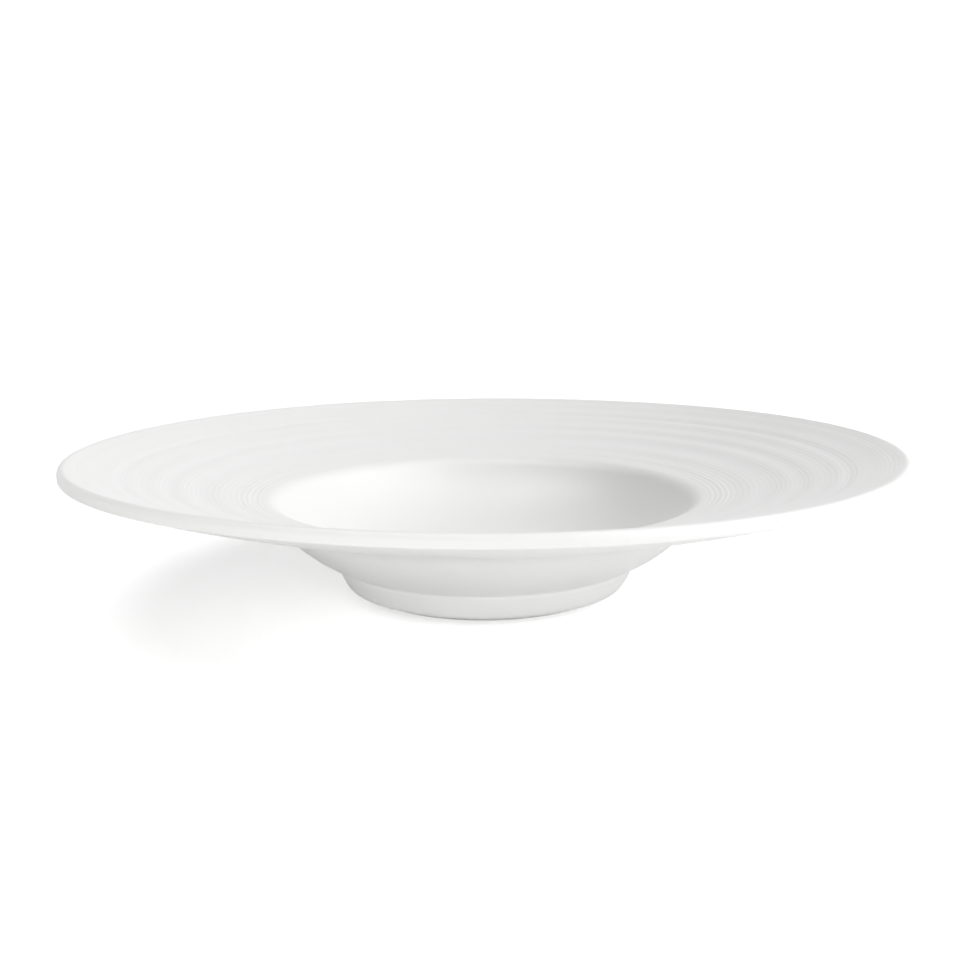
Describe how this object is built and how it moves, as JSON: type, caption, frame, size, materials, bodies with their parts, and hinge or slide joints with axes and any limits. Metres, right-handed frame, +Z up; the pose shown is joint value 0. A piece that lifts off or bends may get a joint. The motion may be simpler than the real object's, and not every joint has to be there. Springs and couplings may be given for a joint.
{
  "type": "deep plate",
  "caption": "Round deep plate with a broad rim carrying turned rings, a small bowl-shaped well and a foot ring, for serving soup, pasta or risotto.",
  "frame": {"origin": "centre of the foot's standing ring, on the table", "axes": "+Z up along the plate's axis of revolution, X and Y level and alike"},
  "size_m": [0.29, 0.29, 0.0538],
  "materials": {
    "fired_porcelain": "unglazed, ground smooth",
    "satin_glaze": "satin white glaze",
    "recess_glaze": "satin white glaze"
  },
  "bodies": {
    "root": {"porcelain_body": "fired_porcelain", "outer_glaze": "satin_glaze", "foot_recess_glaze": "recess_glaze"}
  },
  "joints": []
}
